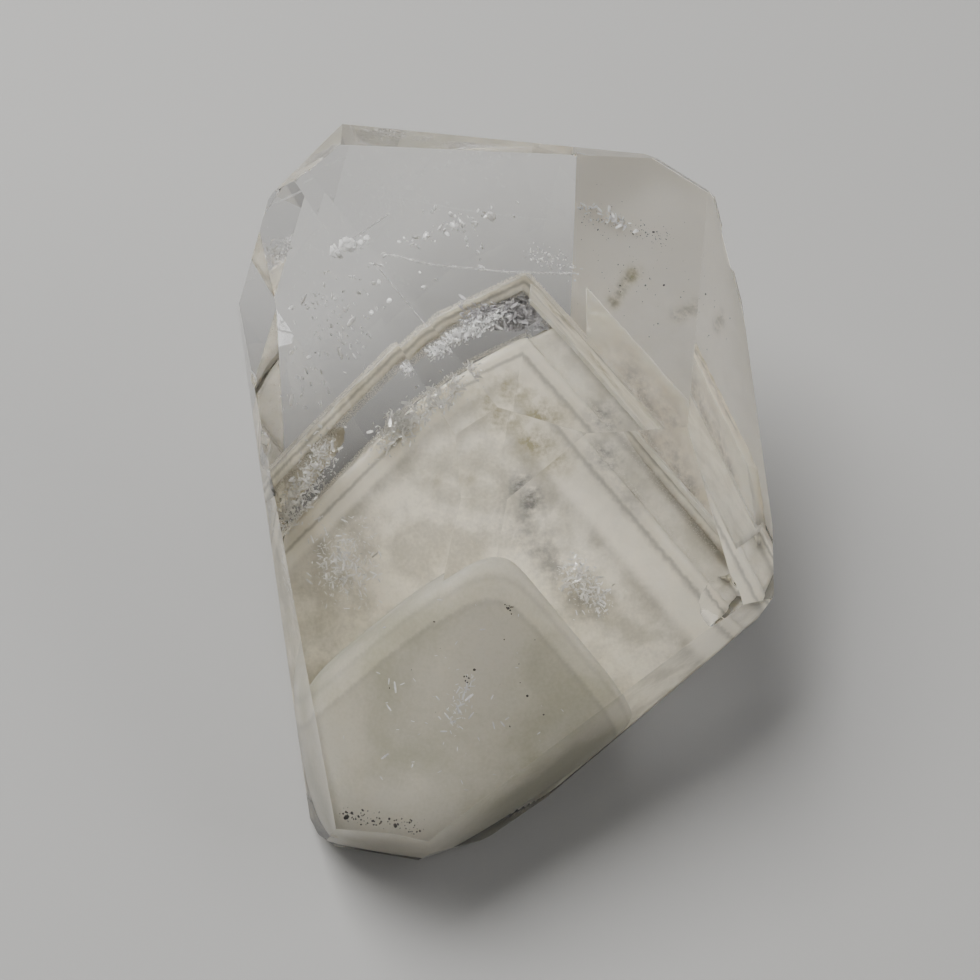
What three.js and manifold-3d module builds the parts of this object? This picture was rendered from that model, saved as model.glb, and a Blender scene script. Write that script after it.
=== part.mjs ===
// Phantom quartz: one clear crystal, cut and polished by hand into a free-standing
// stone with flat faces, with a few old chips left along its edges.
// Millimetres, +Z up, +Y towards the back. The origin is under the middle of the stone.
import * as THREE from 'three';
import { mergeVertices } from 'three/addons/utils/BufferGeometryUtils.js';
import Module from 'manifold-3d';

const wasm = await Module();
wasm.setup();

// ---- Driving dimensions ----

// The faces are laid out in the stone's own frame: x to its right, y to its head end and
// z out of its broad front. The stone then tips back by this angle to lie on its bed.
const BED_ANGLE = 22;

// A cut face is a plane. turn is its direction around the stone, counted in degrees from
// the right towards the head. lean is its angle from the front: 0 faces the front, 90 is
// a side wall and more than 90 looks to the back. reach is its distance from the middle.
const FACES = {
  // the broad front, polished as six shallow planes that meet near the middle
  crown: { turn: -45, lean: 4, reach: 14.96 },
  head_front: { turn: 64.1, lean: 20, reach: 16.43 },
  ridge_bevel: { turn: 117.2, lean: 9.1, reach: 16.18 },
  left_front: { turn: -168.3, lean: 24.4, reach: 15.36 },
  foot_bevel: { turn: -77.1, lean: 11.4, reach: 14.81 },
  foot_front: { turn: -49.1, lean: 16.5, reach: 14.52 },
  // the steep faces around the front
  right_slope: { turn: 6.9, lean: 56, reach: 20.41 },
  foot_slope: { turn: -52.6, lean: 70.9, reach: 21.67 },
  head_slope: { turn: 85.1, lean: 68.1, reach: 29.61 },
  head_left_slope: { turn: 124.8, lean: 70.6, reach: 33.41 },
  left_slope: { turn: -169.4, lean: 73.7, reach: 20.9 },
  tail_slope: { turn: -101, lean: 69.2, reach: 31.83 },
  tail_corner: { turn: -70.5, lean: 80, reach: 27.9 },
  tail_left_corner: { turn: -124.5, lean: 82, reach: 34 },
  // the narrow walls of the girdle
  head_wall: { turn: 83.8, lean: 93, reach: 29.81 },
  head_right_wall: { turn: 57.7, lean: 93, reach: 30.64 },
  right_wall: { turn: 8.1, lean: 95, reach: 22.3 },
  right_low_wall: { turn: -0.8, lean: 95, reach: 23 },
  right_foot_wall: { turn: -22.8, lean: 95, reach: 24.51 },
  left_wall: { turn: 162.4, lean: 92, reach: 26.08 },
  head_left_wall: { turn: 143.7, lean: 93, reach: 30 },
  // the back, with the bed that the stone lies on
  bed: { turn: -90, lean: 180 - BED_ANGLE, reach: 13.5 },
  head_back: { turn: 80.3, lean: 154.5, reach: 13.63 },
  right_back: { turn: 32.9, lean: 141.8, reach: 13.6 },
  head_left_back: { turn: 128.7, lean: 140.2, reach: 22.21 },
  left_back: { turn: -174.9, lean: 150.4, reach: 15.4 },
  left_low_back: { turn: -177.1, lean: 108.7, reach: 18.52 },
  right_low_back: { turn: 3.8, lean: 128, reach: 19.52 },
  foot_back: { turn: -42.2, lean: 118, reach: 20.38 },
  tail_back: { turn: -95.3, lean: 115, reach: 28.75 },
};

// A chip is a shell-shaped scoop. It is struck at a point of the surface, and a ball of
// the radius given, sunk that deep along the way in, takes the stone away.
const CHIPS = {
  right_shoulder: { at: [19.4, 21.3, 4], out: [1, 0.12, 0.25], radius: 4, depth: 0.7, rings: 5 },
  right_foot: { at: [18.4, -9.5, 9.5], out: [0.3, -0.25, 1], radius: 5, depth: 0.7, rings: 6 },
  left_edge: { at: [-20.7, 3.9, 7.6], out: [-0.75, -0.1, 0.66], radius: 1.5, depth: 0.5, rings: 2 },
  left_edge_nick: { at: [-21.6, 9.2, 7.9], out: [-0.75, 0.1, 0.66], radius: 1.1, depth: 0.26, rings: 0 },
  head_nick: { at: [6.2, 28.9, 7], out: [0.05, 0.75, 0.66], radius: 1.2, depth: 0.3, rings: 0 },
  tail_nick: { at: [-14.6, -30.2, 5.2], out: [-0.5, -0.75, 0.4], radius: 1.6, depth: 0.4, rings: 0 },
};
const RING_HEIGHT = 0.05;
const CHIP_DETAIL = { rough: 5, fine: 11 };

const SHEET_SIZE = 200;
const ON_PLANE = 1e-7;
const WELD = 1e-4;

// ---- The cut faces ----

function facePlane({ turn, lean, reach }) {
  const direction = THREE.MathUtils.degToRad(turn);
  const angle = THREE.MathUtils.degToRad(lean);
  const normal = new THREE.Vector3(
    Math.sin(angle) * Math.cos(direction),
    Math.sin(angle) * Math.sin(direction),
    Math.cos(angle),
  );
  return new THREE.Plane(normal, -reach);
}

// A broad square sheet that lies in the plane, counter-clockwise seen from outside.
function sheetOn(plane) {
  const across = Math.abs(plane.normal.z) < 0.9 ? new THREE.Vector3(0, 0, 1) : new THREE.Vector3(1, 0, 0);
  const u = across.clone().cross(plane.normal).normalize();
  const v = plane.normal.clone().cross(u);
  const middle = plane.normal.clone().multiplyScalar(-plane.constant);
  return [[-1, -1], [1, -1], [1, 1], [-1, 1]].map(([a, b]) => middle.clone()
    .addScaledVector(u, a * SHEET_SIZE)
    .addScaledVector(v, b * SHEET_SIZE));
}

// The part of a sheet that lies behind another plane.
function trim(sheet, plane) {
  const kept = [];
  sheet.forEach((point, i) => {
    const next = sheet[(i + 1) % sheet.length];
    const here = plane.distanceToPoint(point);
    const there = plane.distanceToPoint(next);
    if (here <= ON_PLANE) kept.push(point);
    if ((here < -ON_PLANE && there > ON_PLANE) || (here > ON_PLANE && there < -ON_PLANE)) {
      kept.push(point.clone().lerp(next, here / (here - there)));
    }
  });
  return kept;
}

// Every face starts as a broad sheet, and all the other planes trim it to its outline.
function cutStone(faces) {
  const planes = Object.values(faces).map(facePlane);
  const positions = [];
  planes.forEach((own) => {
    const outline = planes.reduce((sheet, other) => (other === own ? sheet : trim(sheet, other)), sheetOn(own));
    for (let i = 1; i < outline.length - 1; i += 1) {
      [outline[0], outline[i], outline[i + 1]].forEach((corner) => positions.push(...corner.toArray()));
    }
  });
  const geometry = new THREE.BufferGeometry();
  geometry.setAttribute('position', new THREE.Float32BufferAttribute(positions, 3));
  return geometry;
}

// ---- The chips ----

// A ball with faint rings around the point where the blow fell, as in a shell fracture.
function scoop({ at, out, radius, depth, rings }) {
  const detail = radius > 3 ? CHIP_DETAIL.fine : CHIP_DETAIL.rough;
  const ball = new THREE.IcosahedronGeometry(radius, detail);
  const outward = new THREE.Vector3(...out).normalize();
  const middle = new THREE.Vector3(...at).addScaledVector(outward, radius - depth);
  const struck = outward.clone().negate().applyAxisAngle(new THREE.Vector3(0, 1, 0), 0.5);
  const position = ball.getAttribute('position');
  const point = new THREE.Vector3();
  for (let i = 0; i < position.count; i += 1) {
    point.fromBufferAttribute(position, i);
    const away = point.angleTo(struck);
    point.setLength(radius + RING_HEIGHT * Math.sin(away * rings * 2 * Math.PI));
    point.add(middle);
    position.setXYZ(i, point.x, point.y, point.z);
  }
  return ball;
}

// ---- Solids ----

function toSolid(geometry) {
  const bare = geometry.clone();
  Object.keys(bare.attributes).filter((name) => name !== 'position')
    .forEach((name) => bare.deleteAttribute(name));
  const merged = mergeVertices(bare, WELD);
  return new wasm.Manifold(new wasm.Mesh({
    numProp: 3,
    vertProperties: new Float32Array(merged.getAttribute('position').array),
    triVerts: new Uint32Array(merged.getIndex().array),
  }));
}

function toGeometry(solid) {
  const { vertProperties, triVerts } = solid.getMesh();
  const geometry = new THREE.BufferGeometry();
  geometry.setAttribute('position', new THREE.BufferAttribute(new Float32Array(vertProperties), 3));
  geometry.setIndex(new THREE.BufferAttribute(new Uint32Array(triVerts), 1));
  geometry.computeVertexNormals();
  return geometry;
}

const chipped = Object.values(CHIPS).reduce(
  (stone, chip) => stone.subtract(toSolid(scoop(chip))),
  toSolid(cutStone(FACES)),
);

// ---- The stone, laid on its bed ----

const quartz = new THREE.MeshStandardMaterial({ color: 0xb7b2a6, roughness: 0.06, metalness: 0 });
const stone = new THREE.Mesh(toGeometry(chipped), quartz);
stone.name = 'phantom_quartz';
stone.rotation.x = THREE.MathUtils.degToRad(BED_ANGLE);

const laid = new THREE.Box3().setFromObject(stone, true);
const middle = laid.getCenter(new THREE.Vector3());
stone.position.set(-middle.x, -middle.y, -laid.min.z);

const group = new THREE.Group();
group.add(stone);

export default group;
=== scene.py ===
# %% [markdown]
# # A phantom quartz crystal
# A phantom quartz grew in spells. Each time the growth paused, a dust of tiny bubbles and
# clay settled on the tip, and the next spell of clear quartz sealed it in. So the stone is
# clear glassy quartz with milky pyramids nested inside it, around a cloudy core.
#
# The outside is finished already: the frame holds the cut and polished solid. This lesson
# gives it its edges and its clearness, then grows what is inside it: two phantoms and the
# core, an even pale sheet behind the head, and stains, flecks and healed cracks.

import math

import bmesh
import bpy
import numpy as np
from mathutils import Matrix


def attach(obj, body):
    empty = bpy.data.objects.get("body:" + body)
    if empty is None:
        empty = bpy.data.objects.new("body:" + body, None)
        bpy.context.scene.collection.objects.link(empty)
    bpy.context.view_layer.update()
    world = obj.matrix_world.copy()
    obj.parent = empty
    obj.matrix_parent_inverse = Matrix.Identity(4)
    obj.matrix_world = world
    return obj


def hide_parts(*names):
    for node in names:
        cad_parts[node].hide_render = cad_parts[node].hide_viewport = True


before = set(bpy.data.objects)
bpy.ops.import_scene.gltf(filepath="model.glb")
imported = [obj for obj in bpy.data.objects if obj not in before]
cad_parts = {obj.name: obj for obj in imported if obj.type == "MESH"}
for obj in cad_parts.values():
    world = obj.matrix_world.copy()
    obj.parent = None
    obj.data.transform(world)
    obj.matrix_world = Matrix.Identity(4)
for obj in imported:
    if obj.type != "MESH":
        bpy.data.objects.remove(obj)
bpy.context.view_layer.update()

# %% [markdown]
# ## The stone's own frame
# The stone lies tipped back on its bed, but it is easier to think of it as it is looked at:
# x to its right, y to its head end and z out of its broad front, in millimetres, from the
# stone's middle. One turn about X and one shift lead from there to the world's metres.

# %% From the stone's frame to the world
MM = 0.001
BED_ANGLE = math.radians(22)
MIDDLE = np.array([-0.2336, 0.7302, 13.5003]) * MM
TURN = np.array([
    [1, 0, 0],
    [0, math.cos(BED_ANGLE), -math.sin(BED_ANGLE)],
    [0, math.sin(BED_ANGLE), math.cos(BED_ANGLE)],
])


def placed(name, data):
    """A new object for a mesh, camera or lamp, linked into the scene."""
    thing = bpy.data.objects.new(name, data)
    bpy.context.collection.objects.link(thing)
    return thing


def to_world(points_mm):
    """Turns points of the stone's frame back by the bed angle and shifts them into place."""
    return np.asarray(points_mm, dtype=float) * MM @ TURN.T + MIDDLE


def to_stone(points):
    """The way back: world metres to the stone's own millimetres."""
    return (np.asarray(points, dtype=float) - MIDDLE) @ TURN / MM


def node_corners(name):
    """All corners of a node's triangles, as an array of triangles by 3 corners by x, y, z."""
    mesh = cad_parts[name].data
    mesh.calc_loop_triangles()
    corners = np.empty(len(mesh.vertices) * 3)
    mesh.vertices.foreach_get("co", corners)
    order = np.empty(len(mesh.loop_triangles) * 3, dtype=np.int32)
    mesh.loop_triangles.foreach_get("vertices", order)
    return corners.reshape(-1, 3)[order].reshape(-1, 3, 3)


triangles = to_stone(node_corners("phantom_quartz"))
print("triangles:", len(triangles))
print("from", triangles.min((0, 1)).round(1), "to", triangles.max((0, 1)).round(1), "mm")

# %% [markdown]
# ## The cut faces as planes
# What grows inside must stay inside. A convex stone is the space behind all its face planes,
# so the big faces are read back from the solid: every large flat area gives one plane. The
# small facets of the chips are left out, because they only hollow the edges a little. One
# face is read twice, because a sliver of it rounds to another step, and that does no harm.

# %% Read the face planes
SMALLEST_FACE = 1.5
DIRECTION_STEPS = 200
OFFSET_STEPS = 20
TINY = 1e-12


def face_planes(tris):
    """Outward normals and offsets of the flat areas over SMALLEST_FACE mm2. Triangles share a
    face when their normals and offsets round to the same steps."""
    cross = np.cross(tris[:, 1] - tris[:, 0], tris[:, 2] - tris[:, 0])
    area = np.linalg.norm(cross, axis=1) / 2
    normal = cross / np.maximum(2 * area, TINY)[:, None]
    offset = (normal * tris[:, 0]).sum(1)
    steps = np.column_stack([normal * DIRECTION_STEPS, offset * OFFSET_STEPS])
    which = np.unique(np.round(steps).astype(int), axis=0, return_inverse=True)[1].ravel()
    large = np.flatnonzero(np.bincount(which, weights=area) > SMALLEST_FACE)
    first = np.array([np.flatnonzero(which == group)[0] for group in large])
    return normal[first], offset[first]


plane_normals, plane_offsets = face_planes(triangles)
print("face planes:", len(plane_offsets))

# %% Distances to the planes
FACES_AWAY = 0.08


def depth_inside(points_mm):
    """How far each point lies inside the stone, in mm: the least distance behind any face."""
    return (plane_offsets - np.asarray(points_mm) @ plane_normals.T).min(axis=1)


def back_wall(across_mm, up_mm):
    """Depth (z) of the stone's back under each point: the highest of the planes that face back."""
    facing_back = plane_normals[:, 2] < -FACES_AWAY
    n = plane_normals[facing_back]
    z = (plane_offsets[facing_back] - across_mm[:, None] * n[:, 0] - up_mm[:, None] * n[:, 1]) / n[:, 2]
    return z.max(axis=1)


def over_back(across_up, height):
    """Points a given height over the stone's back, from flat places."""
    return np.column_stack([across_up, back_wall(across_up[:, 0], across_up[:, 1]) + height])


def under_front(across_up, depth):
    """Points a given depth under the lowest of the planes that face front, from flat places."""
    facing_front = plane_normals[:, 2] > FACES_AWAY
    n = plane_normals[facing_front]
    z = (plane_offsets[facing_front] - across_up @ n[:, :2].T) / n[:, 2]
    return np.column_stack([across_up, z.min(axis=1) - depth])


print("depth of the middle:", depth_inside([[0, 0, 0]]).round(1), "mm")

# %% [markdown]
# ## The camera
# The stone is looked at square to its broad front, from 230 mm, so the camera is turned
# back by the same angle as the stone.

# %% Camera
CAMERA_DISTANCE = 230
CAMERA_SIDE = -1.32
VIEW_WIDTH = 86.4
SENSOR = 36
CLIP_START = 0.01

camera_data = bpy.data.cameras.new("camera")
camera_data.sensor_width = SENSOR
camera_data.lens = SENSOR * CAMERA_DISTANCE / VIEW_WIDTH
camera_data.clip_start = CLIP_START
camera = placed("camera", camera_data)
camera.location = to_world([CAMERA_SIDE, 0, CAMERA_DISTANCE])
camera.rotation_euler = (BED_ANGLE, 0, 0)
bpy.context.scene.camera = camera
print("lens:", round(camera_data.lens, 1), "mm")

# %% [markdown]
# ## The studio
# Clear stones show what is around them, so the surroundings are plain: a pale floor, a dim
# even room and two large soft panels, whose mirror images are broad and quiet.

# %% Floor
FLOOR_DROP = 0.0001
FLOOR_HALF = 2.0
FLOOR_COLOUR = (0.32, 0.315, 0.305, 1)
FLOOR_ROUGHNESS = 0.6


def plain_material(name, colour, roughness):
    """A Principled material with one colour and one roughness."""
    material = bpy.data.materials.new(name)
    material.use_nodes = True
    shader = material.node_tree.nodes["Principled BSDF"]
    shader.inputs["Base Color"].default_value = colour
    shader.inputs["Roughness"].default_value = roughness
    return material


square = ((-1, -1), (1, -1), (1, 1), (-1, 1))
floor_corners = [(x * FLOOR_HALF, y * FLOOR_HALF, -FLOOR_DROP) for x, y in square]
floor_mesh = bpy.data.meshes.new("floor")
floor_mesh.from_pydata(floor_corners, [], [(0, 1, 2, 3)])
floor = placed("floor", floor_mesh)
floor.data.materials.append(plain_material("floor", FLOOR_COLOUR, FLOOR_ROUGHNESS))
print("floor:", 2 * FLOOR_HALF, "m wide")

# %% Room and lights
ROOM_COLOUR = (0.95, 0.97, 1.0, 1)
ROOM_STRENGTH = 0.20
AIM = (0, 0, 0.015)
PANEL_SIZE = 0.7

world = bpy.data.worlds.new("room")
world.use_nodes = True
world.node_tree.nodes["Background"].inputs["Color"].default_value = ROOM_COLOUR
world.node_tree.nodes["Background"].inputs["Strength"].default_value = ROOM_STRENGTH
bpy.context.scene.world = world
bpy.context.scene.view_settings.look = "AgX - Medium High Contrast"


def soft_panel(name, place, power):
    """A square area lamp at place, in metres, turned to face AIM: pitch down, then turn about Z."""
    data = bpy.data.lights.new(name, "AREA")
    data.shape = "SQUARE"
    data.size = PANEL_SIZE
    data.energy = power
    lamp = placed(name, data)
    lamp.location = place
    direction = np.array(AIM, dtype=float) - np.array(place, dtype=float)
    pitch = math.atan2(math.hypot(direction[0], direction[1]), -direction[2])
    lamp.rotation_euler = (pitch, 0, math.atan2(direction[1], direction[0]) - math.pi / 2)
    print(name, "power:", power, "W")


soft_panel("key_panel", place=(-0.4, 0.5, 0.85), power=16.5)
soft_panel("fill_panel", place=(0.85, 0.05, 0.45), power=4)

# %% [markdown]
# ## The crystal
# The stone could be modelled again, but then it might differ from the solid, so a copy of the
# CAD node's own mesh is used. Its triangles are loose, so they are merged first, and triangles
# that lie in one plane become one face. Cut faces stay flat, while the small facets of a chip
# are shaded smooth, with a crease only where a chip's rim is sharp.

# %% Merge the crystal's triangles
WELD = 2e-6
FLAT_WITHIN = math.radians(0.3)
CUT_FACE = 1.2 * MM ** 2
CHIP_CREASE = math.radians(28)

crystal_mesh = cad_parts["phantom_quartz"].data.copy()
crystal_mesh.name = "crystal"
crystal = placed("crystal", crystal_mesh)

merged = bmesh.new()
merged.from_mesh(crystal_mesh)
bmesh.ops.remove_doubles(merged, verts=merged.verts, dist=WELD)
bmesh.ops.dissolve_limit(merged, angle_limit=FLAT_WITHIN, verts=merged.verts, edges=merged.edges)
weights = merged.edges.layers.float.new("bevel_weight_edge")
for face in merged.faces:
    face.smooth = face.calc_area() < CUT_FACE
for edge in merged.edges:
    cut = [not face.smooth for face in edge.link_faces]
    edge.smooth = not any(cut) and edge.calc_face_angle(0) < CHIP_CREASE
    edge[weights] = 1.0 if all(cut) else 0.0
merged.to_mesh(crystal_mesh)
merged.free()
print("crystal faces:", len(crystal_mesh.polygons))

# %% [markdown]
# ## Rounded edges
# A hand-polished stone has no knife edges. A shader can fake a rounded edge, but in glass the
# light also passes through it, so it is a real bevel of a tenth of a millimetre, only where
# two cut faces meet.

# %% Round the edges
EDGE_BEVEL = 0.12 * MM

bevel = crystal.modifiers.new("edge_bevel", "BEVEL")
bevel.width = EDGE_BEVEL
bevel.segments = 2
bevel.limit_method = "WEIGHT"
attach(crystal, "root")
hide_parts("phantom_quartz")
print("bevel:", round(EDGE_BEVEL / MM, 2), "mm")

# %% [markdown]
# ## Helpers for shaders
# Each finish below is a small net of nodes. A net reads like a formula when every node takes
# its sockets or plain numbers at once and hands back its result, so these helpers do that.

# %% Nodes as functions
MIX_FIRST, MIX_SECOND, MIX_RESULT = 6, 7, 2


def per_metre(size_mm):
    """How many features of a size in mm fit into a metre, which is a noise's scale."""
    return 1 / (size_mm * MM)


def feed(tree, target, source):
    """Links the source into the target if it is a socket, and otherwise sets it as a value."""
    if isinstance(source, bpy.types.NodeSocket):
        tree.links.new(source, target)
    else:
        target.default_value = source


def math_node(tree, operation, *values, clamp=False):
    """The result of a Math node on up to three sockets or numbers."""
    node = tree.nodes.new("ShaderNodeMath")
    node.operation = operation
    node.use_clamp = clamp
    for target, value in zip(node.inputs, values):
        feed(tree, target, value)
    return node.outputs[0]


def noise_node(tree, scale, detail, roughness=0.5, distortion=0.0):
    """Noise on Object coordinates, with scale features in a metre; about 0.5 on average."""
    place = tree.nodes.new("ShaderNodeTexCoord")
    noise = tree.nodes.new("ShaderNodeTexNoise")
    feed(tree, noise.inputs["Scale"], scale)
    noise.inputs["Detail"].default_value = detail
    noise.inputs["Roughness"].default_value = roughness
    noise.inputs["Distortion"].default_value = distortion
    tree.links.new(place.outputs["Object"], noise.inputs["Vector"])
    return noise.outputs["Fac"]


def range_node(tree, value, limits, smooth=False):
    """Maps a value from one range to another, by default 0 to 1; smooth eases both ends."""
    node = tree.nodes.new("ShaderNodeMapRange")
    if smooth:
        node.interpolation_type = "SMOOTHSTEP"
    feed(tree, node.inputs["Value"], value)
    for title, limit in limits.items():
        feed(tree, node.inputs[title], limit)
    return node.outputs["Result"]


def mix_colours(tree, factor, first, second, blend="MIX"):
    """A colour between first and second, or the two blended in the way that is named."""
    node = tree.nodes.new("ShaderNodeMix")
    node.data_type = "RGBA"
    node.blend_type = blend
    feed(tree, node.inputs["Factor"], factor)
    feed(tree, node.inputs[MIX_FIRST], first)
    feed(tree, node.inputs[MIX_SECOND], second)
    return node.outputs[MIX_RESULT]


def stored_value(tree, title):
    """Reads one number that is stored on the vertices."""
    node = tree.nodes.new("ShaderNodeAttribute")
    node.attribute_name = title
    return node.outputs["Fac"]


def shader_group(name, inputs, outputs):
    """An empty node group with named sockets; returns it and what enters and leaves it."""
    group = bpy.data.node_groups.new(name, "ShaderNodeTree")
    for direction, titles in (("INPUT", inputs), ("OUTPUT", outputs)):
        for title, kind in titles.items():
            group.interface.new_socket(title, in_out=direction, socket_type="NodeSocket" + kind)
    return group, group.nodes.new("NodeGroupInput").outputs, group.nodes.new("NodeGroupOutput").inputs


def group_node(tree, group, values):
    """Uses a node group with the sockets or values given by title; returns its outputs."""
    node = tree.nodes.new("ShaderNodeGroup")
    node.node_tree = group
    for title, value in values.items():
        feed(tree, node.inputs[title], value)
    return node.outputs


print("a feature of 2 mm has a scale of", round(per_metre(2)))

# %% [markdown]
# ## Clear quartz
# Quartz bends light with an index of 1.544 and takes no colour from it. The polish was done by
# hand on a soft wheel, so the faces are not optical flats: they swell by a few thousandths of
# a millimetre, and their gloss is a little uneven. One broad noise does both, far too weak to
# cloud the stone, but enough to bend a reflected edge.

# %% Clear quartz
QUARTZ_INDEX = 1.544
POLISH_SWELLS = 5.0
POLISH_HEIGHT = 0.004
DULLEST = 0.012

quartz = plain_material("clear_quartz", (1, 1, 1, 1), DULLEST)
quartz_tree = quartz.node_tree
quartz_shader = quartz_tree.nodes["Principled BSDF"]
quartz_shader.inputs["IOR"].default_value = QUARTZ_INDEX
quartz_shader.inputs["Transmission Weight"].default_value = 1.0
swells = noise_node(quartz_tree, per_metre(POLISH_SWELLS), detail=1)
ripple = quartz_tree.nodes.new("ShaderNodeBump")
ripple.inputs["Distance"].default_value = POLISH_HEIGHT * MM
feed(quartz_tree, ripple.inputs["Height"], swells)
feed(quartz_tree, quartz_shader.inputs["Normal"], ripple.outputs["Normal"])
feed(quartz_tree, quartz_shader.inputs["Roughness"], range_node(quartz_tree, swells, {"To Max": DULLEST}))
crystal_mesh.materials.clear()
crystal_mesh.materials.append(quartz)
print("quartz nodes:", len(quartz_tree.nodes))

# %% [markdown]
# ## Dust
# A phantom is dust: specks a few hundredths of a millimetre across, far too many to place by
# hand. Each speck here is a tiny closed tetrahedron, turned at random. One array holds them
# all, so a phantom is a single mesh made at once.

# %% A mesh of specks
TETRA = np.array([[1, 1, 1], [1, -1, -1], [-1, 1, -1], [-1, -1, 1]]) / math.sqrt(3)
TETRA_FACES = np.array([[0, 1, 2], [0, 2, 3], [0, 3, 1], [1, 3, 2]])


def random_turns(count, rng):
    """Rotation matrices made from unit quaternions with evenly spread directions."""
    q = rng.normal(size=(count, 4))
    w, x, y, z = (q / np.linalg.norm(q, axis=1, keepdims=True)).T
    return np.stack([
        np.stack([1 - 2 * (y * y + z * z), 2 * (x * y - w * z), 2 * (x * z + w * y)], -1),
        np.stack([2 * (x * y + w * z), 1 - 2 * (x * x + z * z), 2 * (y * z - w * x)], -1),
        np.stack([2 * (x * z - w * y), 2 * (y * z + w * x), 1 - 2 * (x * x + y * y)], -1),
    ], axis=1)


def mesh_piece(name, points_mm, faces, material, smooth=False):
    """A mesh object from points of the stone's frame, placed in the world, riding on the stone."""
    mesh = bpy.data.meshes.new(name)
    mesh.vertices.add(len(points_mm))
    mesh.vertices.foreach_set("co", to_world(points_mm).astype(np.float32).ravel())
    corners = faces.shape[1]
    mesh.loops.add(faces.size)
    mesh.loops.foreach_set("vertex_index", faces.astype(np.int32).ravel())
    mesh.polygons.add(len(faces))
    mesh.polygons.foreach_set("loop_start", (np.arange(len(faces)) * corners).astype(np.int32))
    mesh.polygons.foreach_set("use_smooth", np.full(len(faces), smooth))
    mesh.update(calc_edges=True)
    mesh.validate()
    mesh.materials.append(material)
    piece = placed(name, mesh)
    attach(piece, "root")
    return piece


def speck_mesh(name, centres, sizes, turns, material, form=TETRA, form_faces=TETRA_FACES, scale=1.0):
    """Copies of one small solid: corner = centre + turn applied to (form x half the size x scale)."""
    shapes = form[None] * sizes[:, None, None] / 2 * scale
    corners = centres[:, None, :] + np.einsum("nij,nkj->nki", turns, shapes)
    faces = form_faces[None] + (np.arange(len(centres)) * len(form))[:, None, None]
    print(name, "specks:", len(centres), "triangles:", len(centres) * len(form_faces))
    return mesh_piece(name, corners.reshape(-1, 3), faces.reshape(-1, 3), material)


# %% [markdown]
# ## A chalky finish
# Thick dust scatters light, so it looks like chalk: rough, pale and never quite even. Broad
# soft patches lead from a light to a deeper colour, and a fine grain shifts the mix a little.
# Light also seeps a short way into it, which subsurface scattering does.

# %% Dust materials
DUST_ROUGHNESS = 0.85
GLOW_WEIGHT = 0.6
GLOW_REACH = (1.0, 0.95, 0.8)


def clouding_group():
    """Place between two colours = noise patches, eased, + Grain x (fine noise - 0.5)."""
    group, inside, outside = shader_group("clouding", {
        "Light": "Color", "Deep": "Color", "Patches per metre": "Float",
        "Grains per metre": "Float", "Grain": "Float"}, {"Colour": "Color"})
    patches = noise_node(group, inside["Patches per metre"], detail=6, distortion=0.3)
    grains = noise_node(group, inside["Grains per metre"], detail=1)
    eased = range_node(group, patches, {"From Min": 0.33, "From Max": 0.69}, smooth=True)
    centred = math_node(group, "SUBTRACT", grains, 0.5)
    place = math_node(group, "MULTIPLY_ADD", centred, inside["Grain"], eased)
    feed(group, outside["Colour"], mix_colours(group, place, inside["Light"], inside["Deep"]))
    return group


clouding = clouding_group()


def dust_material(name, light, deep, patch=1.5, grain_size=0.25, grain=0.6, glow=0.0):
    """Chalky dust coloured by the clouding group; patch, grain_size and glow are in mm, and grain
    is how much the fine noise counts."""
    material = plain_material(name, light, DUST_ROUGHNESS)
    tree = material.node_tree
    shader = tree.nodes["Principled BSDF"]
    cloud = group_node(tree, clouding, {
        "Light": light, "Deep": deep, "Patches per metre": per_metre(patch),
        "Grains per metre": per_metre(grain_size), "Grain": grain})
    feed(tree, shader.inputs["Base Color"], cloud["Colour"])
    if glow:
        shader.inputs["Subsurface Weight"].default_value = GLOW_WEIGHT
        shader.inputs["Subsurface Radius"].default_value = GLOW_REACH
        shader.inputs["Subsurface Scale"].default_value = glow * MM
    return material


veil_dust = dust_material("veil_dust", (0.88, 0.84, 0.76, 1), (0.74, 0.70, 0.60, 1))
print("nodes that cloud the dust:", len(clouding.nodes))

# %% [markdown]
# ## The shape of a phantom
# The phantoms and the core are the same roof at three ages: a short shallow face and a long
# steep face on the left, one steep face on the right. Growth only moved the faces outwards, so
# one set of directions, and one height for each face, describe them all. The stone was cut a
# little askew to the crystal, so every roof also leans as it rises towards the front.

# %% Roofs
FACE_SLOPES = np.array([0.93, 0.50, -1.16])
STEEPNESS = np.hypot(FACE_SLOPES, 1)
FACE_NORMALS = np.column_stack([-FACE_SLOPES, np.ones(3)]) / STEEPNESS[:, None]
LEAN = np.array([0.035, 0.08])


def unleaned(points):
    """Flat places of points, slid back along the lean: across and up, minus lean x height."""
    return points[:, :2] - LEAN * points[:, 2:]


def below_roof(across, up, heights):
    """Distance below a roof and its nearest face; a face is up = height + slope x across."""
    gap = (heights - (up[:, None] - across[:, None] * FACE_SLOPES)) / STEEPNESS
    return gap.min(axis=1), gap.argmin(axis=1)


def roof_knots(heights, left_end, right_end):
    """The foot, kink, apex and foot of a roof; the ends cut off what lies beyond them."""
    left, top, right = heights
    kink = (left - top) / (FACE_SLOPES[1] - FACE_SLOPES[0])
    apex = (top - right) / (FACE_SLOPES[2] - FACE_SLOPES[1])
    across = np.clip([left_end, kink, apex, right_end], left_end, right_end)
    up = (np.array(heights) + across[:, None] * FACE_SLOPES).min(axis=1)
    return np.column_stack([across, up])


def lifted(flat, rise, lean, lifts=3):
    """Roof points set a given height off the stone's back and moved along the lean. The lean
    shifts the place that the height is measured from, so the lift is repeated."""
    z = back_wall(flat[:, 0], flat[:, 1]) + rise
    for _ in range(lifts):
        z = back_wall(flat[:, 0] + lean[0] * z, flat[:, 1] + lean[1] * z) + rise
    return np.column_stack([flat + lean * z[:, None], z])


print("face slopes:", np.degrees(np.arctan(FACE_SLOPES)).round(1), "degrees")

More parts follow.
